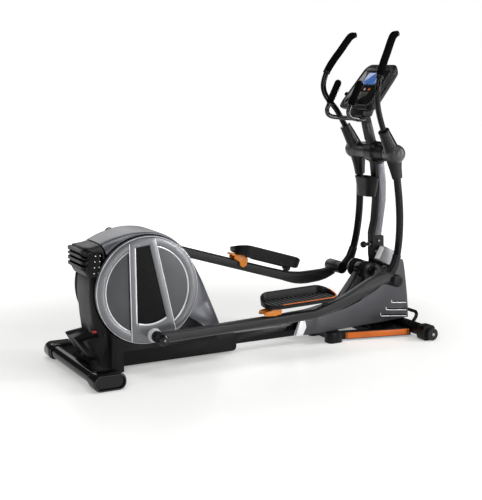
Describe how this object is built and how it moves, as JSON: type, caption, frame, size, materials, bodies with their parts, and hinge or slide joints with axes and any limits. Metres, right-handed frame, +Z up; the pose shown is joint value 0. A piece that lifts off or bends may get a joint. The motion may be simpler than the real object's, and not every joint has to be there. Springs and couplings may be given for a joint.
{
  "type": "elliptical trainer",
  "caption": "Rear-drive elliptical trainer: spinning side discs, pedal arms with trays, swinging handlebars, fixed grips, a console on a curved mast and a frame that folds.",
  "frame": {"origin": "on the floor, at the centre of the machine's footprint", "axes": "+X forward to the console, +Y to the user's left, +Z up"},
  "size_m": [2.0488, 0.736, 1.6894],
  "materials": {
    "black_paint": "satin powder coat",
    "arm_paint": "satin charcoal paint",
    "black_plastic": "fine moulded grain",
    "gloss_black": "gloss",
    "grey_plastic": "satin, metallic flake",
    "disc_grey": "satin, metallic flake",
    "silver_plastic": "satin, metallic paint",
    "orange_plastic": "satin",
    "rubber": "matt, ribbed",
    "foam": "closed-cell foam",
    "steel": "machined",
    "lens": "clear lens over a blue display",
    "red_plastic": "satin"
  },
  "bodies": {
    "front_frame": {"base_frame": "black_paint", "front_stabilizer": "black_paint", "upright_post": "black_paint", "mast_cover": "silver_plastic", "swing_axle": "steel", "lift_motor": "silver_plastic", "fold_barrel": "black_paint", "bottle_holder": "black_plastic", "base_trim_right": "orange_plastic", "base_trim_left": "orange_plastic", "stabilizer_cap_right": "black_plastic", "stabilizer_cap_left": "black_plastic", "shroud_right": "grey_plastic", "shroud_left": "grey_plastic", "console_housing": "black_plastic", "console_face": "grey_plastic", "display_lens": "lens", "grip_bar": "black_paint", "pulse_grip_right": "foam", "pulse_grip_left": "foam"},
    "rear_frame": {"rear_frame": "black_paint", "rail_cover": "black_plastic", "top_shell": "silver_plastic", "vent_corner": "black_plastic", "rear_stabilizer": "black_paint", "drive_belt": "rubber", "brake_magnet": "steel", "housing_right": "black_plastic", "housing_left": "black_plastic", "rear_foot_right": "gloss_black", "rear_foot_left": "gloss_black"},
    "crank": {"crank_axle": "steel", "crank_disc_right": "disc_grey", "crank_disc_left": "disc_grey"},
    "flywheel": {"flywheel": "steel"},
    "reset_button": {"reset_button": "red_plastic"},
    "latch_knob": {"latch_knob": "black_plastic"},
    "console_key_1": {"console_key_1": "orange_plastic"},
    "console_key_2": {"console_key_2": "orange_plastic"},
    "console_key_3": {"console_key_3": "orange_plastic"},
    "swing_arm_right": {"swing_hub_right": "black_plastic", "handlebar_right": "black_paint", "handle_grip_right": "foam", "leg_right": "black_paint"},
    "hinge_pin_right": {"hinge_pin_right": "black_plastic"},
    "pedal_arm_right": {"pedal_arm_right": "arm_paint"},
    "pedal_right": {"pedal_tray_right": "black_plastic", "pedal_mat_right": "rubber"},
    "pedal_lever_right": {"pedal_lever_right": "orange_plastic"},
    "transport_wheel_right": {"transport_wheel_right": "rubber"},
    "swing_arm_left": {"swing_hub_left": "black_plastic", "handlebar_left": "black_paint", "handle_grip_left": "foam", "leg_left": "black_paint"},
    "hinge_pin_left": {"hinge_pin_left": "black_plastic"},
    "pedal_arm_left": {"pedal_arm_left": "arm_paint"},
    "pedal_left": {"pedal_tray_left": "black_plastic", "pedal_mat_left": "rubber"},
    "pedal_lever_left": {"pedal_lever_left": "orange_plastic"},
    "transport_wheel_left": {"transport_wheel_left": "rubber"}
  },
  "joints": [
    {"name": "fold_hinge", "type": "hinge", "parent": "front_frame", "child": "rear_frame", "pos_m": [0.7326, 0, 0.368], "axis": [0, 1, 0], "range_deg": [0, 48]},
    {"name": "crank_spin", "type": "hinge", "parent": "rear_frame", "child": "crank", "pos_m": [-0.6524, 0, 0.417], "axis": [0, 1, 0], "continuous": true},
    {"name": "flywheel_spin", "type": "hinge", "parent": "rear_frame", "child": "flywheel", "pos_m": [-0.4524, 0, 0.3], "axis": [0, 1, 0], "continuous": true},
    {"name": "reset_press", "type": "slide", "parent": "rear_frame", "child": "reset_button", "axis": [1, 0, 0], "range_m": [0, 0.002], "stiffness_N_per_m": 400},
    {"name": "latch_pull", "type": "slide", "parent": "front_frame", "child": "latch_knob", "axis": [-1, 0, 0], "range_m": [0, 0.012], "stiffness_N_per_m": 600},
    {"name": "key_press_1", "type": "slide", "parent": "front_frame", "child": "console_key_1", "axis": [0.7724, 0, -0.6351], "range_m": [0, 0.0015], "stiffness_N_per_m": 400},
    {"name": "key_press_2", "type": "slide", "parent": "front_frame", "child": "console_key_2", "axis": [0.7724, 0, -0.6351], "range_m": [0, 0.0015], "stiffness_N_per_m": 400},
    {"name": "key_press_3", "type": "slide", "parent": "front_frame", "child": "console_key_3", "axis": [0.7724, 0, -0.6351], "range_m": [0, 0.0015], "stiffness_N_per_m": 400},
    {"name": "swing_right", "type": "hinge", "parent": "front_frame", "child": "swing_arm_right", "pos_m": [0.7936, -0.168, 1.031], "axis": [0, 1, 0], "range_deg": [-15.5, 22]},
    {"name": "lower_hinge_right", "type": "hinge", "parent": "swing_arm_right", "child": "hinge_pin_right", "pos_m": [0.76746, -0.168, 0.347], "axis": [0, 1, 0], "range_deg": [-22, 15.5]},
    {"name": "arm_tilt_right", "type": "hinge", "parent": "hinge_pin_right", "child": "pedal_arm_right", "pos_m": [0.76746, -0.245, 0.347], "axis": [0, 1, 0], "range_deg": [0, 48]},
    {"name": "pedal_tilt_right", "type": "hinge", "parent": "pedal_arm_right", "child": "pedal_right", "pos_m": [0.31905, -0.245, 0.27215], "axis": [0, 1, 0], "range_deg": [0, 8]},
    {"name": "lever_press_right", "type": "hinge", "parent": "pedal_arm_right", "child": "pedal_lever_right", "pos_m": [0.00282, -0.245, 0.25618], "axis": [0, -1, 0], "range_deg": [0, 8]},
    {"name": "wheel_spin_right", "type": "hinge", "parent": "front_frame", "child": "transport_wheel_right", "pos_m": [0.9716, -0.333, 0.037], "axis": [0, 1, 0], "continuous": true},
    {"name": "swing_left", "type": "hinge", "parent": "front_frame", "child": "swing_arm_left", "pos_m": [0.7936, 0.168, 1.031], "axis": [0, 1, 0], "range_deg": [-22, 15.5]},
    {"name": "lower_hinge_left", "type": "hinge", "parent": "swing_arm_left", "child": "hinge_pin_left", "pos_m": [0.69196, 0.168, 0.35409], "axis": [0, 1, 0], "range_deg": [-15.5, 22]},
    {"name": "arm_tilt_left", "type": "hinge", "parent": "hinge_pin_left", "child": "pedal_arm_left", "pos_m": [0.69196, 0.245, 0.35409], "axis": [0, 1, 0], "range_deg": [0, 48]},
    {"name": "pedal_tilt_left", "type": "hinge", "parent": "pedal_arm_left", "child": "pedal_left", "pos_m": [0.37339, 0.245, 0.36568], "axis": [0, 1, 0], "range_deg": [0, 8]},
    {"name": "lever_press_left", "type": "hinge", "parent": "pedal_arm_left", "child": "pedal_lever_left", "pos_m": [0.07092, 0.245, 0.46248], "axis": [0, -1, 0], "range_deg": [0, 8]},
    {"name": "wheel_spin_left", "type": "hinge", "parent": "front_frame", "child": "transport_wheel_left", "pos_m": [0.9716, 0.333, 0.037], "axis": [0, 1, 0], "continuous": true}
  ],
  "couplings": [
    {"joint": "flywheel_spin", "follows": "crank_spin", "ratio": 7},
    {"joint": "lower_hinge_right", "follows": "swing_right", "ratio": -1},
    {"joint": "arm_tilt_right", "follows": "fold_hinge", "ratio": 1},
    {"joint": "swing_left", "follows": "swing_right", "ratio": -1},
    {"joint": "lower_hinge_left", "follows": "swing_right", "ratio": 1},
    {"joint": "arm_tilt_left", "follows": "fold_hinge", "ratio": 1}
  ]
}
